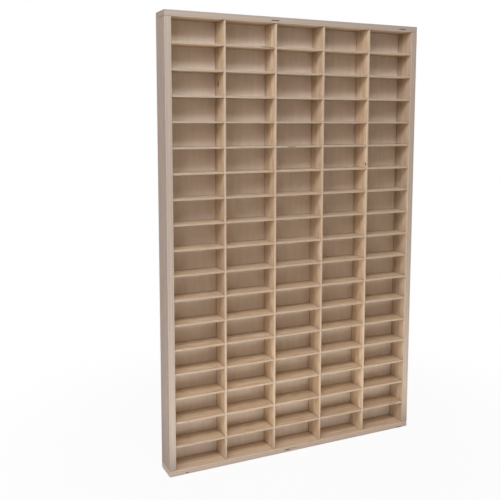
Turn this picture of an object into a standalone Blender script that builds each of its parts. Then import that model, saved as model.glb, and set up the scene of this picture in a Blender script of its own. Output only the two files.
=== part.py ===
"""Pigeonhole shelf: a shallow plywood case with ninety open compartments.

Metres, +Z up. The front faces -Y. The origin is on the floor, under the middle of the case.
"""

from collections import namedtuple
from math import pi

import bmesh
import bpy

# Overall size
WIDTH = 0.500
HEIGHT = 0.785
DEPTH = 0.045

# Plywood thicknesses
SIDE_BOARD = 0.0115
RAIL_BOARD = 0.010
GRID_SHEET = 0.003
BACK_SHEET = 0.003

# Compartments
COLUMNS = 5
ROWS = 18
GRID_DEPTH = 0.040

# Clearances between pieces that touch, and between a slot and the sheet in it
SEAT_GAP = 0.0003
SLOT_PLAY = 0.0003

# The back panel stops this far inside the outline of the case
BACK_INSET = 0.0005

# Eased edges
BOARD_EDGE = 0.0006
SHEET_EDGE = 0.0002
BOARD_EDGE_STEPS = 2
SHEET_EDGE_STEPS = 1

# Nails that join the frame boards at the corners
Nail = namedtuple("Nail", "head_radius head_height shank_radius length tip")
FRAME_NAIL = Nail(head_radius=0.0016, head_height=0.0008, shank_radius=0.0008, length=0.035, tip=0.0024)
FRAME_NAIL_INSET = 0.010

# Brads that hold the back panel to the frame boards
BACK_BRAD = Nail(head_radius=0.0012, head_height=0.0005, shank_radius=0.0006, length=0.016, tip=0.0018)
BRADS_UP = 4
BRADS_ACROSS = 4
BRAD_END_DISTANCE = 0.045

# Heads are set a little below the wood, and their holes run out past it
HEAD_SINK = 0.0003
HOLE_OVERRUN = 0.001
NAIL_SIDES = 12
MERGE_DISTANCE = 0.00001

# Places along the depth
FRONT_Y = -DEPTH / 2
BACK_Y = DEPTH / 2
PANEL_FRONT_Y = BACK_Y - BACK_SHEET
BODY_BACK_Y = PANEL_FRONT_Y - SEAT_GAP
GRID_FRONT_Y = BODY_BACK_Y - GRID_DEPTH
LAP_MIDDLE_Y = (GRID_FRONT_Y + BODY_BACK_Y) / 2

# Inside of the frame
INNER_X = WIDTH / 2 - SIDE_BOARD
INNER_BOTTOM = RAIL_BOARD
INNER_TOP = HEIGHT - RAIL_BOARD

# Distance from one sheet of the grid to the next
COLUMN_PITCH = (2 * INNER_X + GRID_SHEET) / COLUMNS
ROW_PITCH = (INNER_TOP - INNER_BOTTOM + GRID_SHEET) / ROWS

# Colours as seen, with roughness and metallic value
BOARD_COLOUR = (0.80, 0.70, 0.58)
SHEET_COLOUR = (0.82, 0.71, 0.57)
BACK_COLOUR = (0.78, 0.68, 0.55)
STEEL_COLOUR = (0.62, 0.62, 0.63)
WOOD_ROUGHNESS = 0.62
STEEL_ROUGHNESS = 0.35


def linear(channel):
    """Turn one display colour channel into the linear value that a shader takes."""
    if channel <= 0.04045:
        return channel / 12.92
    return ((channel + 0.055) / 1.055) ** 2.4


def make_material(name, colour, roughness, metallic):
    material = bpy.data.materials.new(name)
    material.use_nodes = True
    shader = material.node_tree.nodes["Principled BSDF"]
    rgb = [linear(channel) for channel in colour]
    shader.inputs["Base Color"].default_value = (*rgb, 1.0)
    shader.inputs["Roughness"].default_value = roughness
    shader.inputs["Metallic"].default_value = metallic
    material.diffuse_color = (*rgb, 1.0)
    return material


def add_object(name, mesh, collection):
    piece = bpy.data.objects.new(name, mesh)
    collection.objects.link(piece)
    return piece


def block_mesh(name, blocks):
    """One mesh of plain blocks, each given by its centre and its size."""
    shape = bmesh.new()
    for centre, size in blocks:
        corners = bmesh.ops.create_cube(shape, size=1.0)["verts"]
        bmesh.ops.scale(shape, vec=size, verts=corners)
        bmesh.ops.translate(shape, vec=centre, verts=corners)
    mesh = bpy.data.meshes.new(name)
    shape.to_mesh(mesh)
    shape.free()
    return mesh


def span(low, high):
    """Centre and size of the block between two corners."""
    centre = tuple((a + b) / 2 for a, b in zip(low, high))
    size = tuple(b - a for a, b in zip(low, high))
    return centre, size


def sheet(name, low, high, edge, steps, colour):
    """A board or sheet between two corners, with eased edges."""
    centre, size = span(low, high)
    piece = add_object(name, block_mesh(name, [((0, 0, 0), size)]), parts)
    piece.location = centre
    piece.parent = case
    ease = piece.modifiers.new("eased edges", "BEVEL")
    ease.width = edge
    ease.segments = steps
    piece.data.materials.append(make_material(name, colour, WOOD_ROUGHNESS, 0.0))
    return piece


def hide_cutter(tool):
    tool.hide_render = True
    tool.display_type = "WIRE"
    tool.parent = case


def cut_slots(piece, slots):
    """Cut a row of slots out of a piece, with one cutter that holds a block for each."""
    tool = add_object(piece.name + "_slots", block_mesh(piece.name + "_slots", slots), cutters)
    hide_cutter(tool)
    opening = piece.modifiers.new("slots", "BOOLEAN")
    opening.operation = "DIFFERENCE"
    opening.solver = "EXACT"
    opening.object = tool


def holes_of(piece):
    """The collection of nail holes that one Boolean cuts out of a piece."""
    name = piece.name + "_holes"
    if name not in bpy.data.collections:
        holes = bpy.data.collections.new(name)
        cutters.children.link(holes)
        opening = piece.modifiers.new("nail holes", "BOOLEAN")
        opening.operation = "DIFFERENCE"
        opening.solver = "EXACT"
        opening.operand_type = "COLLECTION"
        opening.collection = holes
    return bpy.data.collections[name]


def nail_outline(nail, extra, overrun):
    """Half section of a nail from the top of its head, or of its hole with extra room."""
    head = nail.head_radius + extra
    shank = nail.shank_radius + extra
    shoulder = -nail.head_height - extra
    point = -nail.length - extra
    return [
        (0, overrun),
        (head, overrun),
        (head, shoulder),
        (shank, shoulder),
        (shank, point + nail.tip),
        (0, point),
    ]


def turned(name, outline, collection):
    """Turn a half section round the object's own Z axis."""
    mesh = bpy.data.meshes.new(name)
    points = [(radius, 0, height) for radius, height in outline]
    mesh.from_pydata(points, [(i, i + 1) for i in range(len(points) - 1)], [])
    piece = add_object(name, mesh, collection)
    turn = piece.modifiers.new("turned", "SCREW")
    turn.steps = NAIL_SIDES
    turn.render_steps = NAIL_SIDES
    turn.use_merge_vertices = True
    turn.merge_threshold = MERGE_DISTANCE
    turn.use_smooth_shade = True
    return piece


def drive(name, nail, place, turn, pieces):
    """Drive a nail in at a point of the surface, and cut its hole in the pieces it joins."""
    body = turned(name, nail_outline(nail, 0, 0), parts)
    hole = turned(name + "_hole", nail_outline(nail, SEAT_GAP, HEAD_SINK + HOLE_OVERRUN), cutters)
    hide_cutter(hole)
    body.parent = case
    body.data.materials.append(make_material(name, STEEL_COLOUR, STEEL_ROUGHNESS, 1.0))
    for item in (body, hole):
        item.location = place
        item.rotation_euler = turn
    for piece in pieces:
        holes_of(piece).objects.link(hole)


def divider_x(number):
    """Middle of a divider, counted from the left."""
    return -INNER_X - GRID_SHEET / 2 + number * COLUMN_PITCH


def shelf_z(number):
    """Middle of a shelf, counted from the top."""
    return INNER_TOP + GRID_SHEET / 2 - number * ROW_PITCH


def build_frame():
    """Two side boards between two rails that run the full width."""
    boards = {}
    for name, sign in (("side_left", -1), ("side_right", 1)):
        edges = sorted((sign * INNER_X, sign * WIDTH / 2))
        low = (edges[0], FRONT_Y, INNER_BOTTOM + SEAT_GAP)
        high = (edges[1], BODY_BACK_Y, INNER_TOP - SEAT_GAP)
        boards[name] = sheet(name, low, high, BOARD_EDGE, BOARD_EDGE_STEPS, BOARD_COLOUR)
    for name, bottom in (("rail_bottom", 0), ("rail_top", INNER_TOP)):
        low = (-WIDTH / 2, FRONT_Y, bottom)
        high = (WIDTH / 2, BODY_BACK_Y, bottom + RAIL_BOARD)
        boards[name] = sheet(name, low, high, BOARD_EDGE, BOARD_EDGE_STEPS, BOARD_COLOUR)
    return boards


def build_back():
    low = (-WIDTH / 2 + BACK_INSET, PANEL_FRONT_Y, BACK_INSET)
    high = (WIDTH / 2 - BACK_INSET, BACK_Y, HEIGHT - BACK_INSET)
    return sheet("back_panel", low, high, SHEET_EDGE, SHEET_EDGE_STEPS, BACK_COLOUR)


def build_dividers():
    """Upright sheets, slotted from behind to half their depth for the shelves."""
    slot_front = LAP_MIDDLE_Y - SLOT_PLAY / 2
    for number in range(1, COLUMNS):
        middle = divider_x(number)
        low = (middle - GRID_SHEET / 2, GRID_FRONT_Y, INNER_BOTTOM + SEAT_GAP)
        high = (middle + GRID_SHEET / 2, BODY_BACK_Y, INNER_TOP - SEAT_GAP)
        piece = sheet(f"divider_{number}", low, high, SHEET_EDGE, SHEET_EDGE_STEPS, SHEET_COLOUR)
        slots = []
        for row in range(1, ROWS):
            half = GRID_SHEET / 2 + SLOT_PLAY
            slot_low = (middle - GRID_SHEET, slot_front, shelf_z(row) - half)
            slot_high = (middle + GRID_SHEET, BACK_Y, shelf_z(row) + half)
            slots.append(span(slot_low, slot_high))
        cut_slots(piece, slots)


def build_shelves():
    """Level sheets, slotted from the front to half their depth for the dividers."""
    slot_back = LAP_MIDDLE_Y + SLOT_PLAY / 2
    for number in range(1, ROWS):
        middle = shelf_z(number)
        low = (-INNER_X + SEAT_GAP, GRID_FRONT_Y, middle - GRID_SHEET / 2)
        high = (INNER_X - SEAT_GAP, BODY_BACK_Y, middle + GRID_SHEET / 2)
        piece = sheet(f"shelf_{number:02d}", low, high, SHEET_EDGE, SHEET_EDGE_STEPS, SHEET_COLOUR)
        slots = []
        for column in range(1, COLUMNS):
            half = GRID_SHEET / 2 + SLOT_PLAY
            slot_low = (divider_x(column) - half, FRONT_Y, middle - GRID_SHEET)
            slot_high = (divider_x(column) + half, slot_back, middle + GRID_SHEET)
            slots.append(span(slot_low, slot_high))
        cut_slots(piece, slots)


def nail_corners(boards):
    """Two nails at each corner, through the rail into the end of the side board."""
    side_middle = WIDTH / 2 - SIDE_BOARD / 2
    for rail, height, turn in (
        ("rail_bottom", HEAD_SINK, (pi, 0, 0)),
        ("rail_top", HEIGHT - HEAD_SINK, (0, 0, 0)),
    ):
        for side, sign in (("side_left", -1), ("side_right", 1)):
            for place, y in (
                ("front", FRONT_Y + FRAME_NAIL_INSET),
                ("back", BODY_BACK_Y - FRAME_NAIL_INSET),
            ):
                name = f"nail_{rail[5:]}_{side[5:]}_{place}"
                point = (sign * side_middle, y, height)
                drive(name, FRAME_NAIL, point, turn, (boards[rail], boards[side]))


def spread(low, high, count):
    """Evenly spaced places from low to high."""
    return [low + (high - low) * i / (count - 1) for i in range(count)]


def nail_back(boards, panel):
    """Brads through the back panel into the middle of each frame board."""
    into_back = (-pi / 2, 0, 0)
    head_y = BACK_Y - HEAD_SINK
    side_middle = WIDTH / 2 - SIDE_BOARD / 2
    heights = spread(BRAD_END_DISTANCE, HEIGHT - BRAD_END_DISTANCE, BRADS_UP)
    for side, sign in (("side_left", -1), ("side_right", 1)):
        for number, z in enumerate(heights, 1):
            point = (sign * side_middle, head_y, z)
            drive(f"brad_{side[5:]}_{number}", BACK_BRAD, point, into_back, (panel, boards[side]))
    places = spread(BRAD_END_DISTANCE - WIDTH / 2, WIDTH / 2 - BRAD_END_DISTANCE, BRADS_ACROSS)
    for rail, z in (("rail_bottom", RAIL_BOARD / 2), ("rail_top", HEIGHT - RAIL_BOARD / 2)):
        for number, x in enumerate(places, 1):
            point = (x, head_y, z)
            drive(f"brad_{rail[5:]}_{number}", BACK_BRAD, point, into_back, (panel, boards[rail]))


# Start from an empty file
for item in list(bpy.data.objects):
    bpy.data.objects.remove(item, do_unlink=True)

parts = bpy.data.collections.new("pigeonhole_shelf")
cutters = bpy.data.collections.new("cutters")
bpy.context.scene.collection.children.link(parts)
bpy.context.scene.collection.children.link(cutters)

case = add_object("pigeonhole_shelf_origin", None, parts)

frame_boards = build_frame()
back_panel = build_back()
build_dividers()
build_shelves()
nail_corners(frame_boards)
nail_back(frame_boards, back_panel)
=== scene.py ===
import random
from math import cos, pi, radians, sin

import bmesh
import bpy
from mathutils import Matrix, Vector, noise


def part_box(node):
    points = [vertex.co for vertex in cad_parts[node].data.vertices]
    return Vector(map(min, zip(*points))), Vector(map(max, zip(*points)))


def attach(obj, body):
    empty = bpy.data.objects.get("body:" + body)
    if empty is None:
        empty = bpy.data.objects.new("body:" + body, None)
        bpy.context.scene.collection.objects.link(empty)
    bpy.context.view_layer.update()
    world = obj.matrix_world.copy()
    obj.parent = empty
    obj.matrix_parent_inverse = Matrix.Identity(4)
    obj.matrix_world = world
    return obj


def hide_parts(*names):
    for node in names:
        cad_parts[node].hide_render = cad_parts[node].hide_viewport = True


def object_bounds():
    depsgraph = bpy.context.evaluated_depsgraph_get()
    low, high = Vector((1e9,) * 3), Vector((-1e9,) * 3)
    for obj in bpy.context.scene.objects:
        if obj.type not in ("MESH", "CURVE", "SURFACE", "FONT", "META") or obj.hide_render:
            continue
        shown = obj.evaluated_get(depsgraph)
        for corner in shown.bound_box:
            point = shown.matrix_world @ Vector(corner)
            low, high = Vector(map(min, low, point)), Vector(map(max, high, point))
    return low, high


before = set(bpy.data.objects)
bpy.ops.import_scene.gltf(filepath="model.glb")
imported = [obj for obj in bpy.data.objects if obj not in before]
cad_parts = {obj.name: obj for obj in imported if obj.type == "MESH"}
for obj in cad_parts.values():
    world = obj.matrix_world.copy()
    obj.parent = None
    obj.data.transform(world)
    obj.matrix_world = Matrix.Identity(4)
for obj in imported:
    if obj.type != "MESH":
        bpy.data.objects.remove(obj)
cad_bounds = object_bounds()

X, Y, Z = 0, 1, 2

# Camera, in metres, degrees and millimetres. Yaw turns from +Y towards +X, and pitch is below zero
# when it looks down
CAMERA_PLACE = (-0.6181, -1.1223, 0.6019)
CAMERA_YAW = 24.96
CAMERA_PITCH = -6.48
CAMERA_SENSOR = 36.0
CAMERA_LENS = 50.9
CAMERA_SHIFT = (0.008, -0.09)
CAMERA_CLIP = (0.01, 100.0)

# Light: for each lamp its name, place, the point it shines at, size, watts and colour, and the dim
# warm light from all round. White is what the camera sees behind the object
LAMPS = [
    ("key", (-0.35, -0.85, 1.42), (0.0, 0.0, 0.40), (0.7, 0.4), 8.5, (0.95, 1.0, 1.05)),
    ("left fill", (-1.36, -0.88, 1.36), (0.0, 0.0, 0.55), (1.2, 0.9), 13.6, (0.97, 1.0, 1.12)),
    ("floor bounce", (-0.05, -0.30, 0.004), (-0.05, -0.30, 1.0), (1.1, 0.45), 3.0, (1.0, 1.0, 1.0)),
    ("back fill", (0.90, 1.60, 0.90), (0.0, 0.0, 0.40), (1.3, 1.3), 8.0, (1.0, 1.0, 1.0)),
]
WORLD_LIGHT = (0.215, 0.175, 0.140, 1.0)
WHITE = (1.0, 1.0, 1.0, 1.0)

# Floor: a disc just under the object. Its share of plain white grows with the distance
FLOOR_RADIUS = 12.0
FLOOR_SIDES = 96
FLOOR_HEIGHT = -0.0002
FLOOR_COLOUR = (0.84, 0.84, 0.84, 1.0)
FLOOR_DISTANCES = (0.22, 0.80)
FLOOR_WHITE_SHARES = (0.93, 1.0)

# Grid, as in the CAD
COLUMNS = 5
ROWS = 18
SLOT_PLAY = 0.0003

# Eased edges: size and number of steps, profile, the angle in degrees that counts as sharp, and the
# weight of large faces in the shading
BOARD_EDGE = (0.0006, 3)
SHEET_EDGE = (0.00025, 2)
EDGE_PROFILE = 0.6
SHARP_ANGLE = 25
NORMAL_WEIGHT = 90

# Sawn front edges: how far they wander, the place of each edge in the noise, and the distance
# between points
SAW_WANDER = 0.00012
SAW_WAVES = 55.0
SAW_SEED_STEP = 3.7
SAW_LEVEL = 0.4
DIVIDER_EDGE_STEP = 0.009
SHELF_EDGE_STEP = 0.008

# Nails: radius and height of a head, the play round it, and how deep it is sunk
NAIL_HEAD = (0.0016, 0.0008)
BRAD_HEAD = (0.0012, 0.0005)
HOLE_PLAY = 0.0003
HEAD_SINK = 0.0003

# Recesses round the heads: sides, how far the cutter stands out, and how uneven the round is
BORE_SIDES = 24
BORE_OVERRUN = 0.001
BORE_WOBBLE = 0.04
BORE_LOBES = 3
BORE_TURN = 50

# Edges shorter than this are merged after a cut
MERGE_DISTANCE = 0.000005

# Voids in the core veneer, in metres: x, z, half length, half height, depth.
# In the rails, z is the height over the floor. In the shelves it counts from the middle of the sheet
RAIL_TOP_VOIDS = [
    (-0.0505, 0.7791, 0.0080, 0.00075, 0.0050),
    (0.2160, 0.7790, 0.0085, 0.00065, 0.0050),
]
RAIL_BOTTOM_VOIDS = [
    (-0.0215, 0.0048, 0.0062, 0.00080, 0.0050),
    (-0.0075, 0.0056, 0.0070, 0.00050, 0.0040),
    (-0.2180, 0.0028, 0.0028, 0.00055, 0.0030),
    (0.2310, 0.0014, 0.0070, 0.00060, 0.0040),
]
SHELF_VOIDS = {
    1: [(-0.0643, 0.0001, 0.0120, 0.00058, 0.0032)],
    5: [(-0.0162, -0.0003, 0.0095, 0.00062, 0.0035)],
    16: [(-0.2150, 0.0003, 0.0038, 0.00032, 0.0025)],
    17: [(0.2155, 0.0004, 0.0100, 0.00042, 0.0030)],
}

# Shape of the voids: blunt ends and a ragged surface, and the noise that makes it
VOID_BLUNTNESS = 0.55
VOID_RAGGEDNESS = 0.35
VOID_WAVES = (3.1, 2.0, 1.7)
VOID_STEP = 90
VOID_SUBDIVISIONS = 3

# Knots that show on the dividers: middle, radii, share of dark colour
GRID_KNOTS = [
    ((-0.1455, 0.0051, 0.6700), (0.0030, 0.0026, 0.0052), 0.85),
    ((0.1425, -0.0182, 0.5290), (0.0026, 0.0027, 0.0028), 0.95),
    ((-0.1455, 0.0085, 0.7260), (0.0030, 0.0032, 0.0060), 0.25),
]

# Brightness of the pieces against the colours that they are made of, and its random spread. The top
# rail is darker, painted shade against the stronger lamp light near the top, and the bottom rail
# much lighter, painted light that stands in for light from the floor. The lower rail's upper face,
# the floor of the lowest row, takes only a share of its brightness
TONE_SPREAD = (0.97, 1.03)
DIVIDER_TONE = 1.05
SHELF_TONE = 0.95
RAIL_TOP_PAINTED_SHADE = 0.93
RAIL_BOTTOM_PAINTED_LIGHT = 1.48
RAIL_BOTTOM_FLOOR_SHARE = 0.80

# Points nearer to the inner face than this part of the thickness lie on it
FACE_DEPTH = 0.0001

# Start values of the random draws, to which dividers and shelves add their own number, and how far
# apart in metres the pieces may lie in the noise
SEEDS = {"side_left": 11, "side_right": 12, "rail_bottom": 13, "rail_top": 14, "back_panel": 15}
DIVIDER_SEED = 20
SHELF_SEED = 40
GRAIN_SPREAD = (0, 9)

# Painted shade: dark lines where sheets meet inside the case, standing in for the shade in those
# corners. Their reach from far to close, the share of colour they take, how far they run past the
# inner faces and the back panel's face, how far behind the grid's front edges they begin, and how
# far a face may turn towards their own axis before they fade on it
LINE_REACH = (0.0010, 0.0001)
CORNER_SHADE_SHARE = 0.42
LINE_PAST = (0.0006, 0.0002)
LINE_PAST_BACK = (0.0010, 0.0005)
LINE_START = (0.001, 0.004)
LINE_FACING = (0.7, 0.3)

# Noise: cells per metre along three axes, which in wood are along, across and through the grain,
# then detail, roughness and distortion
NOISES = {
    "cloud": ((5.0, 22.0, 8.0), 3.0, 0.55, 0.0),
    "rings": ((3.2, 26.0, 3.0), 1.5, 0.4, 0.25),
    "fibre": ((18.0, 620.0, 620.0), 4.0, 0.62, 0.0),
    "streak": ((5.0, 115.0, 115.0), 3.0, 0.6, 0.0),
    "mottle": ((42.0, 120.0, 120.0), 2.0, 0.5, 0.4),
    "pores": ((160.0, 2600.0, 2600.0), 1.0, 0.4, 0.0),
    "waver": ((22.0, 22.0, 40.0), 2.0, 0.5, 0.0),
    "end grain": ((900.0, 900.0, 1500.0), 2.0, 0.6, 0.0),
    "long grain": ((40.0, 40.0, 1800.0), 3.0, 0.6, 0.0),
    "patch": ((16.0, 16.0, 300.0), 2.0, 0.5, 0.0),
    "torn fibres": ((300.0, 900.0, 1800.0), 3.0, 0.6, 0.0),
    "dull spots": ((900.0, 900.0, 900.0), 4.0, 0.6, 0.0),
    "scratches": ((4000.0, 600.0, 4000.0), 2.0, 0.5, 0.0),
}

# Face veneer: ranges of noise over which its features come in, and their shares of colour
CLOUD_RANGE = (0.30, 0.72)
OUTER_RANGE = (0.5, 0.9)
RING_COUNT = 9.0
RING_BAND = ((0.0, 0.75), (1.0, 0.86))
RING_SHARE = 0.55
PORE_RANGE = (0.66, 0.76)
PORE_SHARE = 0.28

# Layers over the rings: noise, its range, share, colour
FACE_LAYERS = [
    ("mottle", (0.46, 0.70), 0.60, "mottle"),
    ("streak", (0.40, 0.62), 0.62, "streak"),
    ("fibre", (0.35, 0.70), 0.45, "streak"),
]

# Pin knots, one in some of the cells of a pattern: cells per metre, chance, and distances from the
# middle of a cell
PIN_KNOT_CELLS = (9.0, 13.0, 13.0)
PIN_KNOT_CHANCE = (0.80, 0.82)
PIN_KNOT_CORE = (0.024, 0.010)
PIN_KNOT_CORE_SHARE = 0.85
PIN_KNOT_HALO = (0.085, 0.015)
PIN_KNOT_HALO_SHARE = 0.35

# Placed knots: distances from the middle, in radii
KNOT_RING = (2.2, 0.8)
KNOT_RING_SHARE = 0.45
KNOT_CORE = (1.15, 0.65)

# Sawn edge, in parts of the thickness: waver and blur of the plies, and reach of the glue lines
PLY_WAVER_RANGE = (0.2, 0.8)
PLY_WAVER = 0.010
PLY_BLUR = 0.008
GLUE_REACH = (0.022, 0.008)
GLUE_SHARE = 0.40
LONG_GRAIN_RANGE = (0.35, 0.7)
LONG_GRAIN_SHARE = 0.6
END_GRAIN_RANGE = (0.38, 0.66)
PATCH_RANGE = (0.35, 0.80)
PATCH_SHARE = 0.30

# Through the thickness, from 0 to 1: where the sawn edge lies between the faces, and its two worn
# arrises
EDGE_BAND = ((0.002, 0.030), (0.998, 0.970))
WORN_LOW = ((0.0, 0.02), (0.085, 0.03))
WORN_HIGH = ((1.0, 0.98), (0.915, 0.97))
WORN_SHARE = 0.30

# Surface: roughness over the range of a noise, reflection, height of each feature in the relief,
# strength and depth of the bump, and the ranges of torn fibres and dull spots
ROUGH_RANGE = (0.3, 0.7)
FACE_ROUGH = (0.52, 0.68)
EDGE_ROUGH = (0.70, 0.88)
CAVITY_ROUGH = (0.8, 0.95)
STEEL_ROUGH = (0.30, 0.52)
PLY_SPECULAR = 0.35
CAVITY_SPECULAR = 0.2
FLOOR_SPECULAR = 0.1
FLOOR_ROUGHNESS = 0.9
FIBRE_HEIGHT = 0.6
PORE_HEIGHT = 0.5
END_GRAIN_HEIGHT = 0.7
LONG_GRAIN_HEIGHT = 0.5
GLUE_HEIGHT = 0.5
PLY_BUMP = (0.35, 0.00012)
CAVITY_BUMP = (0.6, 0.0003)
STEEL_BUMP = (0.3, 0.00005)
TORN_RANGE = (0.35, 0.7)
DULL_RANGE = (0.4, 0.75)

# Plywood: places of its glue lines through the thickness, display colours of the wood, and how
# strongly the figure and the plies show. The colours "outer" take the place of base and cloud on the
# face where "through" is 1: greyer and darker, partly the veneer's own colour and partly painted
# shade for the dimmer, cooler light on the outer faces
FRAME_WOOD = {
    "joints": (0.11, 0.36, 0.64, 0.89),
    "base": (215, 192, 164),
    "cloud": (206, 183, 153),
    "outer": [(168, 156, 151), (161, 148, 142)],
    "rings": (189, 166, 142),
    "streak": (173, 150, 127),
    "mottle": (192, 164, 136),
    "light plies": [(183, 167, 153), (172, 157, 141)],
    "dark plies": [(170, 154, 139), (159, 142, 126)],
    "glue": (112, 94, 80),
    "figure": 0.8,
    "ply contrast": 0.42,
}
GRID_WOOD = {
    "joints": (0.31, 0.69),
    "base": (227, 206, 179),
    "cloud": (218, 195, 167),
    "rings": (205, 180, 151),
    "streak": (188, 163, 133),
    "mottle": (190, 153, 118),
    "light plies": [(192, 172, 150), (182, 160, 137)],
    "dark plies": [(179, 158, 135), (165, 144, 121)],
    "glue": (104, 76, 54),
    "figure": 1.0,
    "ply contrast": 0.6,
    "knots": GRID_KNOTS,
}
BACK_WOOD = {
    "joints": (0.31, 0.69),
    "base": (232, 219, 203),
    "cloud": (223, 209, 194),
    "rings": (207, 195, 178),
    "streak": (193, 176, 158),
    "mottle": (196, 171, 152),
    "light plies": [(212, 198, 180), (200, 185, 166)],
    "dark plies": [(196, 180, 160), (182, 165, 145)],
    "glue": (104, 80, 60),
    "figure": 0.18,
    "ply contrast": 0.6,
}
# Voids: torn core veneer, made much darker than the wood, partly painted shade inside the hollow
VOID_COLOURS_AND_SHADE = [(96, 68, 46), (58, 40, 27)]
BORE_COLOURS = [(178, 148, 116), (128, 98, 70)]
STEEL_COLOURS = [(150, 150, 152), (104, 100, 96)]


def middle_of(name, axis):
    """Middle of a CAD node along one axis."""
    low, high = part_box(name)
    return (low[axis] + high[axis]) / 2


def half_of(name, axis):
    """Half the size of a CAD node along one axis."""
    low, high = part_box(name)
    return (high[axis] - low[axis]) / 2


def linear(channel):
    """Turn one display colour channel into the linear value that a shader takes."""
    if channel <= 0.04045:
        return channel / 12.92
    return ((channel + 0.055) / 1.055) ** 2.4


def shade(display):
    """Linear colour with alpha, from display values of 0 to 255."""
    red, green, blue = display
    return (linear(red / 255), linear(green / 255), linear(blue / 255), 1.0)


class Nodes:
    """Short calls to add nodes to one node tree."""

    def __init__(self, tree):
        self.tree = tree

    def add(self, kind, **settings):
        node = self.tree.nodes.new(kind)
        for name, value in settings.items():
            setattr(node, name, value)
        return node

    def feed(self, socket, value):
        """Link a socket, or set its value where it is a plain number or colour."""
        if isinstance(value, bpy.types.NodeSocket):
            self.tree.links.new(value, socket)
        else:
            socket.default_value = value

    def math(self, operation, first, second=0.0, clamp=False):
        node = self.add("ShaderNodeMath", operation=operation, use_clamp=clamp)
        self.feed(node.inputs[0], first)
        self.feed(node.inputs[1], second)
        return node.outputs[0]

    def times(self, first, second):
        return self.math("MULTIPLY", first, second)

    def distance(self, first, second):
        return self.math("ABSOLUTE", self.math("SUBTRACT", first, second))

    def ramp(self, value, low, high, to_low=0.0, to_high=1.0, smooth=True):
        """Map a value from one range to another, and hold it at the ends."""
        kind = "SMOOTHSTEP" if smooth else "LINEAR"
        node = self.add("ShaderNodeMapRange", interpolation_type=kind)
        for name, item in (("Value", value), ("From Min", low), ("From Max", high)):
            self.feed(node.inputs[name], item)
        node.inputs["To Min"].default_value = to_low
        node.inputs["To Max"].default_value = to_high
        return node.outputs["Result"]

    def band(self, value, rise, fall):
        """1 between a rise and a fall, and 0 outside them."""
        return self.times(self.ramp(value, *rise), self.ramp(value, *fall))

    def mix(self, share, first, second):
        """Mix of two colours."""
        node = self.add("ShaderNodeMix", data_type="RGBA")
        self.feed(node.inputs["Factor"], share)
        self.feed(node.inputs[6], first)
        self.feed(node.inputs[7], second)
        return node.outputs[2]

    def blend(self, share, first, second):
        """Mix of two numbers."""
        node = self.add("ShaderNodeMix", data_type="FLOAT")
        self.feed(node.inputs[0], share)
        self.feed(node.inputs[2], first)
        self.feed(node.inputs[3], second)
        return node.outputs[0]

    def stretch(self, vector, scale, shift=(0.0, 0.0, 0.0)):
        node = self.add("ShaderNodeMapping", vector_type="POINT")
        self.feed(node.inputs["Vector"], vector)
        node.inputs["Scale"].default_value = scale
        node.inputs["Location"].default_value = shift
        return node.outputs[0]

    def noise(self, name, vector):
        """One of the named noises, laid over a vector."""
        scale, detail, rough, distortion = NOISES[name]
        node = self.add("ShaderNodeTexNoise")
        self.feed(node.inputs["Vector"], self.stretch(vector, scale))
        node.inputs["Scale"].default_value = 1.0
        node.inputs["Detail"].default_value = detail
        node.inputs["Roughness"].default_value = rough
        node.inputs["Distortion"].default_value = distortion
        return node.outputs["Fac"]

    def length(self, vector):
        node = self.add("ShaderNodeVectorMath", operation="LENGTH")
        self.feed(node.inputs[0], vector)
        return node.outputs["Value"]

    def parts(self, vector):
        """The three numbers of a vector."""
        node = self.add("ShaderNodeSeparateXYZ")
        self.feed(node.inputs[0], vector)
        return node.outputs

    def attribute(self, name, output="Fac"):
        return self.add("ShaderNodeAttribute", attribute_name=name).outputs[output]

    def object_place(self):
        return self.add("ShaderNodeTexCoord").outputs["Object"]

    def bump(self, shader, height, strength, distance):
        node = self.add("ShaderNodeBump")
        node.inputs["Strength"].default_value = strength
        node.inputs["Distance"].default_value = distance
        self.feed(node.inputs["Height"], height)
        self.feed(shader.inputs["Normal"], node.outputs[0])


def new_material(name):
    """A material, the calls that add nodes to it, and its shader."""
    material = bpy.data.materials.new(name)
    material.use_nodes = True
    tree = material.node_tree
    return material, Nodes(tree), tree.nodes["Principled BSDF"]


def near_plane(n, coordinate, name, axis, spacing):
    """1 close beside the faces of sheets that repeat at one spacing, and 0 elsewhere."""
    turns = n.math("DIVIDE", n.math("SUBTRACT", coordinate, middle_of(name, axis)), spacing)
    nearest = n.distance(turns, n.math("ROUND", turns))
    gap = n.distance(n.times(nearest, spacing), half_of(name, axis))
    return n.ramp(gap, *LINE_REACH)


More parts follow.
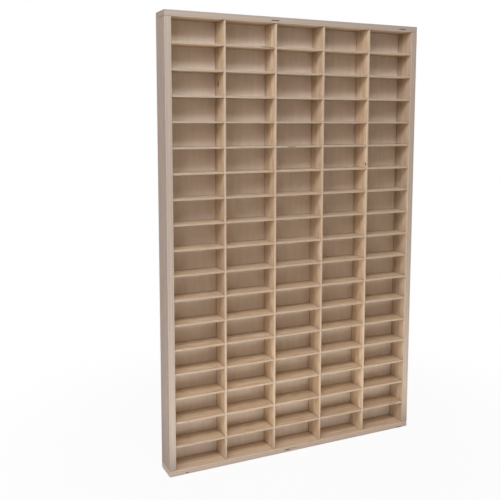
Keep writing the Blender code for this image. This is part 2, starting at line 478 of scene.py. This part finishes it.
def painted_corner_shade(n):
    """Where two pieces meet inside the case: painted shade, a dark line in the glue's colour in the
    corner.
    """
    column_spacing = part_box("divider_2")[0][X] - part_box("divider_1")[0][X]
    row_spacing = abs(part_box("shelf_02")[0][Z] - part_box("shelf_01")[0][Z])
    inner_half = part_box("side_right")[0][X]
    inner_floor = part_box("rail_bottom")[1][Z]
    inner_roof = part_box("rail_top")[0][Z]
    grid_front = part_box("divider_1")[0][Y]
    back_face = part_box("back_panel")[0][Y]

    place = n.parts(n.object_place())
    facing = n.parts(n.add("ShaderNodeNewGeometry").outputs["True Normal"])
    columns = near_plane(n, place[X], "divider_1", X, column_spacing)
    rows = near_plane(n, place[Z], "shelf_01", Z, row_spacing)
    behind = n.ramp(n.distance(place[Y], back_face), *LINE_REACH)
    lines = 0.0
    for axis, line in ((X, columns), (Z, rows), (Y, behind)):
        open_share = n.ramp(n.math("ABSOLUTE", facing[axis]), *LINE_FACING)
        lines = n.math("MAXIMUM", lines, n.times(line, open_share))

    # Only inside the case
    far, near = LINE_PAST
    far_back, near_back = LINE_PAST_BACK
    start, full = LINE_START
    limits = [
        n.ramp(n.math("ABSOLUTE", place[X]), inner_half + far, inner_half + near),
        n.ramp(place[Z], inner_floor - far, inner_floor - near),
        n.ramp(place[Z], inner_roof + far, inner_roof + near),
        n.ramp(place[Y], grid_front + start, grid_front + full),
        n.ramp(place[Y], back_face + far_back, back_face + near_back),
    ]
    for limit in limits:
        lines = n.times(lines, limit)
    return lines


def pin_knots(n, grain):
    """Core and halo of small knots, in a few cells of a Voronoi pattern."""
    cell = n.add("ShaderNodeTexVoronoi", feature="F1")
    n.feed(cell.inputs["Vector"], n.stretch(grain, PIN_KNOT_CELLS))
    cell.inputs["Scale"].default_value = 1.0
    chance = n.add("ShaderNodeSeparateColor")
    n.feed(chance.inputs[0], cell.outputs["Color"])
    here = n.ramp(chance.outputs[0], *PIN_KNOT_CHANCE)
    core = n.times(n.ramp(cell.outputs["Distance"], *PIN_KNOT_CORE), here)
    halo = n.times(n.ramp(cell.outputs["Distance"], *PIN_KNOT_HALO), here)
    return core, halo


def face_veneer(n, wood, grain, through):
    """Face veneer: cloudy tone, rings, mottling, streaks, fibres, short pores and knots.

    Gives its colour, its fibres and its pores.
    """
    streak = shade(wood["streak"])
    glue = shade(wood["glue"])
    cloud = n.ramp(n.noise("cloud", grain), *CLOUD_RANGE)
    face = n.mix(cloud, shade(wood["base"]), shade(wood["cloud"]))
    # The outer face's greyer, darker colours are partly painted shade
    if "outer" in wood:
        outer = n.mix(cloud, *[shade(colour) for colour in wood["outer"]])
        face = n.mix(n.ramp(through, *OUTER_RANGE), face, outer)
    rings = n.math("FRACT", n.times(n.noise("rings", grain), RING_COUNT))
    ring_share = n.times(n.band(rings, *RING_BAND), RING_SHARE * wood["figure"])
    face = n.mix(ring_share, face, shade(wood["rings"]))
    fields = {name: n.noise(name, grain) for name in ("mottle", "streak", "fibre")}
    for name, span, share, colour in FACE_LAYERS:
        layer_share = n.ramp(fields[name], *span, 0.0, share * wood["figure"])
        face = n.mix(layer_share, face, shade(wood[colour]))
    pores = n.ramp(n.noise("pores", grain), *PORE_RANGE)
    core, halo = pin_knots(n, grain)
    face = n.mix(n.times(pores, PORE_SHARE), face, streak)
    face = n.mix(n.times(halo, PIN_KNOT_HALO_SHARE), face, streak)
    face = n.mix(n.times(core, PIN_KNOT_CORE_SHARE), face, glue)

    for middle, radii, share in wood.get("knots", []):
        scale = tuple(1.0 / radius for radius in radii)
        shift = tuple(-m / radius for m, radius in zip(middle, radii))
        reach = n.length(n.stretch(n.object_place(), scale, shift))
        face = n.mix(n.ramp(reach, *KNOT_RING, 0.0, KNOT_RING_SHARE), face, shade(wood["mottle"]))
        face = n.mix(n.ramp(reach, *KNOT_CORE, 0.0, share), face, glue)
    return face, fields["fibre"], pores


def sawn_edge(n, wood, grain, through):
    """Sawn edge: plies one after another, with glue lines, end grain and saw marks.

    Gives its colour, its end grain and its relief.
    """
    waver = n.ramp(n.noise("waver", grain), *PLY_WAVER_RANGE, -PLY_WAVER, PLY_WAVER, smooth=False)
    level = n.math("ADD", through, waver)
    odd_ply = 0.0
    nearest = 1.0
    for i, joint in enumerate(wood["joints"]):
        past = n.ramp(level, joint - PLY_BLUR, joint + PLY_BLUR)
        odd_ply = n.math("ADD" if i % 2 == 0 else "SUBTRACT", odd_ply, past)
        nearest = n.math("MINIMUM", nearest, n.distance(level, joint))
    glue_line = n.ramp(nearest, *GLUE_REACH)
    end_grain = n.noise("end grain", grain)
    long_grain = n.noise("long grain", grain)
    patch = n.noise("patch", grain)
    light = [shade(colour) for colour in wood["light plies"]]
    dark = [shade(colour) for colour in wood["dark plies"]]
    light_band = n.mix(n.ramp(long_grain, *LONG_GRAIN_RANGE, 0.0, LONG_GRAIN_SHARE), *light)
    dark_band = n.mix(n.ramp(end_grain, *END_GRAIN_RANGE), *dark)
    dark_band = n.mix(n.ramp(patch, *PATCH_RANGE, 0.0, PATCH_SHARE), dark_band, light[1])
    edge = n.mix(n.times(odd_ply, wood["ply contrast"]), light_band, dark_band)
    glue_share = n.times(glue_line, GLUE_SHARE * wood["ply contrast"])
    edge = n.mix(glue_share, edge, shade(wood["glue"]))

    end_height = n.times(end_grain, END_GRAIN_HEIGHT)
    relief = n.math("ADD", end_height, n.times(long_grain, LONG_GRAIN_HEIGHT))
    relief = n.math("SUBTRACT", relief, n.times(glue_line, GLUE_HEIGHT))
    return edge, end_grain, relief


def make_plywood(name, wood):
    """Plywood that reads its grain from the mesh: metres along, across and through the grain.

    The attribute "through" runs from 0 to 1 through the thickness, and a third attribute gives the
    brightness of the piece, which on the rails also holds painted light and shade.
    """
    material, n, shader = new_material(name)
    grain = n.attribute("grain", "Vector")
    through = n.attribute("through")
    face, fibre, pores = face_veneer(n, wood, grain, through)
    edge, end_grain, edge_relief = sawn_edge(n, wood, grain, through)
    on_edge = n.band(through, *EDGE_BAND)
    colour = n.mix(on_edge, face, edge)

    # Worn arrises are paler, and corners inside the case are darkened with painted shade
    worn_low = n.band(through, *WORN_LOW)
    worn = n.math("ADD", worn_low, n.band(through, *WORN_HIGH), clamp=True)
    colour = n.mix(n.times(worn, WORN_SHARE), colour, shade(wood["base"]))
    colour = n.mix(n.times(painted_corner_shade(n), CORNER_SHADE_SHARE), colour, shade(wood["glue"]))
    brightness = n.add("ShaderNodeHueSaturation")
    n.feed(brightness.inputs["Value"], n.attribute("tone_and_light"))
    n.feed(brightness.inputs["Color"], colour)
    n.feed(shader.inputs["Base Color"], brightness.outputs[0])

    face_rough = n.ramp(fibre, *ROUGH_RANGE, *FACE_ROUGH)
    edge_rough = n.ramp(end_grain, *ROUGH_RANGE, *EDGE_ROUGH)
    n.feed(shader.inputs["Roughness"], n.blend(on_edge, face_rough, edge_rough))
    shader.inputs["Specular IOR Level"].default_value = PLY_SPECULAR
    fibre_height = n.times(fibre, FIBRE_HEIGHT)
    face_relief = n.math("SUBTRACT", fibre_height, n.times(pores, PORE_HEIGHT))
    n.bump(shader, n.blend(on_edge, face_relief, edge_relief), *PLY_BUMP)
    return material


def make_cavity(name, colours):
    """Torn core veneer inside a void or a bored hole. In a void its dark colours are partly the torn
    core's own and partly painted shade of the hollow.
    """
    material, n, shader = new_material(name)
    fibres = n.noise("torn fibres", n.object_place())
    colour = n.mix(n.ramp(fibres, *TORN_RANGE), *[shade(item) for item in colours])
    n.feed(shader.inputs["Base Color"], colour)
    n.feed(shader.inputs["Roughness"], n.ramp(fibres, *ROUGH_RANGE, *CAVITY_ROUGH))
    shader.inputs["Specular IOR Level"].default_value = CAVITY_SPECULAR
    n.bump(shader, fibres, *CAVITY_BUMP)
    return material


def make_steel(name):
    """Bright drawn wire, a little dull on the struck face."""
    material, n, shader = new_material(name)
    place = n.object_place()
    scratches = n.noise("scratches", place)
    dull = n.ramp(n.noise("dull spots", place), *DULL_RANGE)
    n.feed(shader.inputs["Base Color"], n.mix(dull, *[shade(item) for item in STEEL_COLOURS]))
    n.feed(shader.inputs["Roughness"], n.ramp(scratches, *ROUGH_RANGE, *STEEL_ROUGH))
    shader.inputs["Metallic"].default_value = 1.0
    n.bump(shader, scratches, *STEEL_BUMP)
    return material


def add_object(name, shape):
    """Turn a finished bmesh into an object of the scene."""
    mesh = bpy.data.meshes.new(name)
    shape.to_mesh(mesh)
    shape.free()
    made = bpy.data.objects.new(name, mesh)
    bpy.context.scene.collection.objects.link(made)
    return made


def place_of(axis, first, second, through):
    """Point from its two flat coordinates and its place through the thickness."""
    point = [0.0, 0.0, 0.0]
    point[axis] = through
    point[(axis + 1) % 3] = first
    point[(axis + 2) % 3] = second
    return point


def plate(name, axis, outline, low, high, easing):
    """A flat piece: an outline taken through its thickness, with all sharp edges eased."""
    shape = bmesh.new()
    base = [shape.verts.new(place_of(axis, a, b, low)) for a, b in outline]
    face = shape.faces.new(base)
    grown = bmesh.ops.extrude_face_region(shape, geom=[face])
    moved = [item for item in grown["geom"] if isinstance(item, bmesh.types.BMVert)]
    bmesh.ops.translate(shape, verts=moved, vec=place_of(axis, 0.0, 0.0, high - low))
    bmesh.ops.recalc_face_normals(shape, faces=shape.faces)
    sharp = [item for item in shape.edges if item.calc_face_angle(0.0) > radians(SHARP_ANGLE)]
    size, steps = easing
    bmesh.ops.bevel(
        shape,
        geom=sharp,
        offset=size,
        segments=steps,
        profile=EDGE_PROFILE,
        affect="EDGES",
        clamp_overlap=True,
    )
    return add_object(name, shape)


def cut(piece, tools):
    """Take cutters out of a piece. Their own material stays on the faces they leave."""
    for tool in tools:
        opening = piece.modifiers.new("opening", "BOOLEAN")
        opening.operation = "DIFFERENCE"
        opening.solver = "EXACT"
        opening.material_mode = "TRANSFER"
        opening.object = tool
    graph = bpy.context.evaluated_depsgraph_get()
    evaluated = piece.evaluated_get(graph)
    made = bpy.data.meshes.new_from_object(
        evaluated, preserve_all_data_layers=True, depsgraph=graph
    )
    shape = bmesh.new()
    shape.from_mesh(made)
    bmesh.ops.dissolve_degenerate(shape, dist=MERGE_DISTANCE, edges=shape.edges)
    shape.to_mesh(made)
    shape.free()
    piece.modifiers.clear()
    piece.data = made
    for tool in tools:
        bpy.data.objects.remove(tool, do_unlink=True)


def void_tool(name, voids, front, middle_height=0.0):
    """Cutter for gaps in the core veneer: long torn hollows that open on the front edge."""
    shape = bmesh.new()
    for void_x, void_z, half_length, half_height, depth in voids:
        ball = bmesh.ops.create_icosphere(shape, subdivisions=VOID_SUBDIVISIONS, radius=1.0)
        for vert in ball["verts"]:
            x, y, z = vert.co
            blunt = max(abs(x), 1e-6) ** VOID_BLUNTNESS * (1 if x > 0 else -1)
            wave_x = x * VOID_WAVES[X] + void_x * VOID_STEP
            wave = Vector((wave_x, y * VOID_WAVES[Y], z * VOID_WAVES[Z]))
            ragged = 1.0 + VOID_RAGGEDNESS * noise.noise(wave)
            vert.co = (
                void_x + blunt * half_length * ragged,
                front + y * depth,
                middle_height + void_z + z * half_height * ragged,
            )
    tool = add_object(name, shape)
    tool.data.materials.append(void_wood)
    return tool


def bore_tool(name, centres, axis, sign, head):
    """Cutter for the round recesses that heads sit in, each opening at its centre."""
    head_radius, head_height = head
    radius = head_radius + HOLE_PLAY
    depth = HEAD_SINK + head_height + HOLE_PLAY
    shape = bmesh.new()
    for centre in centres:
        rings = []
        for level in (BORE_OVERRUN, -depth):
            ring = []
            for i in range(BORE_SIDES):
                angle = 2 * pi * i / BORE_SIDES
                wobble = 1.0 + BORE_WOBBLE * sin(BORE_LOBES * angle + centre[X] * BORE_TURN)
                first = cos(angle) * radius * wobble
                second = sin(angle) * radius * wobble
                point = place_of(axis, first, second, level * sign)
                ring.append(shape.verts.new(Vector(centre) + Vector(point)))
            rings.append(ring)
        for i in range(BORE_SIDES):
            j = (i + 1) % BORE_SIDES
            shape.faces.new((rings[0][i], rings[0][j], rings[1][j], rings[1][i]))
        shape.faces.new(rings[0])
        shape.faces.new(list(reversed(rings[1])))
    bmesh.ops.recalc_face_normals(shape, faces=shape.faces)
    tool = add_object(name, shape)
    tool.data.materials.append(bored_wood)
    return tool


def give_grain(piece, axis, along, low, high, seed, flip=False, tone_and_light=1.0, inner_share=1.0):
    """Write the places along the grain and through the thickness, and the brightness, on the mesh.

    The face where "through" is 0 takes its own share of the brightness, which on the rails holds
    painted light and shade.
    """
    dice = random.Random(seed)
    offset = Vector([dice.uniform(*GRAIN_SPREAD) for _ in range(3)])
    tone_and_light *= dice.uniform(*TONE_SPREAD)
    across = 3 - axis - along
    directions = []
    depths = []
    for vert in piece.data.vertices:
        co = vert.co
        directions.extend(Vector((co[along], co[across], co[axis])) + offset)
        depth = min(1.0, max(0.0, (co[axis] - low) / (high - low)))
        depths.append(1.0 - depth if flip else depth)
    tones = [tone_and_light * (inner_share if depth < FACE_DEPTH else 1.0) for depth in depths]

    # All three are made before any is written, because a new one moves the others
    attributes = piece.data.attributes
    attributes.new("grain", "FLOAT_VECTOR", "POINT")
    attributes.new("through", "FLOAT", "POINT")
    attributes.new("tone_and_light", "FLOAT", "POINT")
    attributes["grain"].data.foreach_set("vector", directions)
    attributes["through"].data.foreach_set("value", depths)
    attributes["tone_and_light"].data.foreach_set("value", tones)


def dress(piece, nodes, material):
    """Give a finished piece its material and its body, and hide the CAD nodes it stands for."""
    if piece.data.materials:
        piece.data.materials[0] = material
    else:
        piece.data.materials.append(material)
    piece.data.shade_smooth()
    normals = piece.modifiers.new("flat faces", "WEIGHTED_NORMAL")
    normals.keep_sharp = True
    normals.weight = NORMAL_WEIGHT
    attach(piece, "root")
    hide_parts(*nodes)


def sawn(front, length_along, seed):
    """Place of a sawn front edge, a little behind its line, at one place along it."""
    wave = Vector((length_along * SAW_WAVES, seed * SAW_SEED_STEP, SAW_LEVEL))
    return front + abs(SAW_WANDER * noise.noise(wave))


def edge_points(start, end, step):
    """Places along an edge, both ends left out."""
    count = max(1, round(abs(end - start) / step))
    return [start + (end - start) * i / count for i in range(1, count)]


def rectangle(first_low, first_high, second_low, second_high):
    """Corners of a rectangle in order."""
    return [
        (first_low, second_low),
        (first_high, second_low),
        (first_high, second_high),
        (first_low, second_high),
    ]


def build_side(name):
    """Side board, whose outer face is greyer and darker: partly the veneer's own colour, partly
    painted shade.
    """
    low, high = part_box(name)
    outline = rectangle(low[Y], high[Y], low[Z], high[Z])
    piece = plate(name + "_wood", X, outline, low[X], high[X], BOARD_EDGE)
    give_grain(piece, X, Z, low[X], high[X], SEEDS[name], flip=low[X] < 0)
    dress(piece, [name], frame_ply)


def build_rail(name, sign, voids, tone_and_light, inner_share=1.0):
    """Top or bottom board, with voids in its front edge and recesses for its four nail heads.

    The sign is 1 where its outer face is the upper one, and -1 where it is the lower one.
    """
    low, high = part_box(name)
    outline = rectangle(low[X], high[X], low[Y], high[Y])
    piece = plate(name + "_wood", Z, outline, low[Z], high[Z], BOARD_EDGE)
    piece.data.materials.append(frame_ply)
    outer = low[Z] if sign < 0 else high[Z]
    stem = name.replace("rail_", "nail_")
    nails = [f"{stem}_{side}_{end}" for side in ("left", "right") for end in ("front", "back")]
    centres = [(middle_of(nail, X), middle_of(nail, Y), outer) for nail in nails]
    tools = [
        void_tool(name + "_voids", voids, cad_bounds[0][Y]),
        bore_tool(name + "_bores", centres, Z, sign, NAIL_HEAD),
    ]
    cut(piece, tools)
    flip = sign < 0
    give_grain(piece, Z, X, low[Z], high[Z], SEEDS[name], flip, tone_and_light, inner_share)
    dress(piece, [name], frame_ply)


def build_back():
    """Back panel, with a recess for each brad head."""
    low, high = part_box("back_panel")
    outline = [(z, x) for x, z in rectangle(low[X], high[X], low[Z], high[Z])]
    piece = plate("back_panel_wood", Y, outline, low[Y], high[Y], SHEET_EDGE)
    piece.data.materials.append(back_ply)
    brads = [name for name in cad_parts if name.startswith("brad_")]
    centres = [(middle_of(brad, X), high[Y], middle_of(brad, Z)) for brad in brads]
    cut(piece, [bore_tool("back_bores", centres, Y, 1, BRAD_HEAD)])
    give_grain(piece, Y, Z, low[Y], high[Y], SEEDS["back_panel"])
    dress(piece, ["back_panel"], back_ply)


def build_divider(name, shelf_middles, seed):
    """Upright sheet: front edge unbroken, slots open to the back."""
    low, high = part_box(name)
    lap = middle_of(name, Y) - SLOT_PLAY / 2
    half = half_of(name, X) + SLOT_PLAY
    outline = [(low[Y], low[Z]), (high[Y], low[Z])]
    for middle in sorted(shelf_middles):
        outline += [
            (high[Y], middle - half),
            (lap, middle - half),
            (lap, middle + half),
            (high[Y], middle + half),
        ]
    outline += [(high[Y], high[Z]), (low[Y], high[Z])]
    for z in edge_points(high[Z], low[Z], DIVIDER_EDGE_STEP):
        outline.append((sawn(low[Y], z, seed), z))
    piece = plate(name + "_wood", X, outline, low[X], high[X], SHEET_EDGE)
    give_grain(piece, X, Z, low[X], high[X], seed, tone_and_light=DIVIDER_TONE)
    dress(piece, [name], grid_ply)


def build_shelf(name, divider_middles, voids, seed):
    """Level sheet: slots open to the front, so the dividers cross its front edge."""
    low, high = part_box(name)
    lap = middle_of(name, Y) + SLOT_PLAY / 2
    half = half_of(name, Z) + SLOT_PLAY
    outline = [(low[X], low[Y])]
    start = low[X]
    for middle in sorted(divider_middles) + [None]:
        end = high[X] if middle is None else middle - half
        for x in edge_points(start, end, SHELF_EDGE_STEP):
            outline.append((x, sawn(low[Y], x, seed)))
        outline.append((end, low[Y]))
        if middle is not None:
            outline += [(end, lap), (middle + half, lap), (middle + half, low[Y])]
            start = middle + half
    outline += [(high[X], high[Y]), (low[X], high[Y])]
    piece = plate(name + "_wood", Z, outline, low[Z], high[Z], SHEET_EDGE)
    piece.data.materials.append(grid_ply)
    if voids:
        cut(piece, [void_tool(name + "_voids", voids, low[Y], middle_of(name, Z))])
    give_grain(piece, Z, X, low[Z], high[Z], seed, tone_and_light=SHELF_TONE)
    dress(piece, [name], grid_ply)


def seen_directly(n):
    """1 for rays that show the plain white background, and 0 for those that only light the wood."""
    path = n.add("ShaderNodeLightPath")
    seen = n.math("MAXIMUM", path.outputs["Is Camera Ray"], path.outputs["Is Glossy Ray"])
    return n.math("MAXIMUM", seen, path.outputs["Is Transmission Ray"])


def make_floor():
    """Pale studio floor. It turns white away from the object, and keeps the object's shadow."""
    shape = bmesh.new()
    bmesh.ops.create_circle(shape, cap_ends=True, radius=FLOOR_RADIUS, segments=FLOOR_SIDES)
    floor = add_object("floor", shape)
    floor.location = (0.0, 0.0, FLOOR_HEIGHT)
    material, n, shader = new_material("floor")
    shader.inputs["Base Color"].default_value = FLOOR_COLOUR
    shader.inputs["Roughness"].default_value = FLOOR_ROUGHNESS
    shader.inputs["Specular IOR Level"].default_value = FLOOR_SPECULAR
    white = n.add("ShaderNodeEmission")
    white.inputs["Color"].default_value = WHITE
    white.inputs["Strength"].default_value = 1.0
    share = n.ramp(n.length(n.object_place()), *FLOOR_DISTANCES, *FLOOR_WHITE_SHARES)
    mixer = n.add("ShaderNodeMixShader")
    n.feed(mixer.inputs[0], n.times(share, seen_directly(n)))
    n.feed(mixer.inputs[1], shader.outputs[0])
    n.feed(mixer.inputs[2], white.outputs[0])
    n.feed(n.tree.nodes["Material Output"].inputs["Surface"], mixer.outputs[0])
    floor.data.materials.append(material)


def make_world():
    """White where the camera sees it, and a dim warm light everywhere else."""
    world = bpy.data.worlds.new("studio")
    world.use_nodes = True
    n = Nodes(world.node_tree)
    background = n.tree.nodes["Background"]
    n.feed(background.inputs["Color"], n.mix(seen_directly(n), WORLD_LIGHT, WHITE))
    background.inputs["Strength"].default_value = 1.0
    bpy.context.scene.world = world


def add_lamp(name, place, target, size, watts, colour):
    data = bpy.data.lights.new(name, "AREA")
    data.shape = "RECTANGLE"
    data.size, data.size_y = size
    data.energy = watts
    data.color = colour
    lamp = bpy.data.objects.new(name, data)
    lamp.location = place
    lamp.rotation_euler = (Vector(target) - Vector(place)).to_track_quat("-Z", "Y").to_euler()
    lamp.visible_camera = False
    bpy.context.scene.collection.objects.link(lamp)


def aim_camera():
    data = bpy.data.cameras.new("camera")
    data.sensor_width = CAMERA_SENSOR
    data.lens = CAMERA_LENS
    data.shift_x, data.shift_y = CAMERA_SHIFT
    data.clip_start, data.clip_end = CAMERA_CLIP
    camera = bpy.data.objects.new("camera", data)
    camera.location = CAMERA_PLACE
    camera.rotation_euler = (radians(90 + CAMERA_PITCH), 0.0, radians(-CAMERA_YAW))
    bpy.context.scene.collection.objects.link(camera)
    bpy.context.scene.camera = camera


# Materials
frame_ply = make_plywood("frame_plywood", FRAME_WOOD)
grid_ply = make_plywood("grid_plywood", GRID_WOOD)
back_ply = make_plywood("back_plywood", BACK_WOOD)
void_wood = make_cavity("void_in_core", VOID_COLOURS_AND_SHADE)
bored_wood = make_cavity("bored_wood", BORE_COLOURS)
steel = make_steel("nail_steel")

# Case
build_side("side_left")
build_side("side_right")
# The rails' brightness holds painted light on the bottom rail and painted shade on the top rail
build_rail("rail_bottom", -1, RAIL_BOTTOM_VOIDS, RAIL_BOTTOM_PAINTED_LIGHT, RAIL_BOTTOM_FLOOR_SHARE)
build_rail("rail_top", 1, RAIL_TOP_VOIDS, RAIL_TOP_PAINTED_SHADE)
build_back()

# Grid
dividers = {i: f"divider_{i}" for i in range(1, COLUMNS)}
shelves = {i: f"shelf_{i:02d}" for i in range(1, ROWS)}
divider_middles = [middle_of(name, X) for name in dividers.values()]
shelf_middles = [middle_of(name, Z) for name in shelves.values()]
for i, name in dividers.items():
    build_divider(name, shelf_middles, DIVIDER_SEED + i)
for i, name in shelves.items():
    build_shelf(name, divider_middles, SHELF_VOIDS.get(i), SHELF_SEED + i)

# Nails and brads keep their CAD meshes
for name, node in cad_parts.items():
    if name.startswith(("nail_", "brad_")):
        for slot in node.material_slots:
            slot.material = steel

# Studio
make_floor()
make_world()
for lamp in LAMPS:
    add_lamp(*lamp)
aim_camera()
bpy.context.scene.view_settings.view_transform = "Standard"
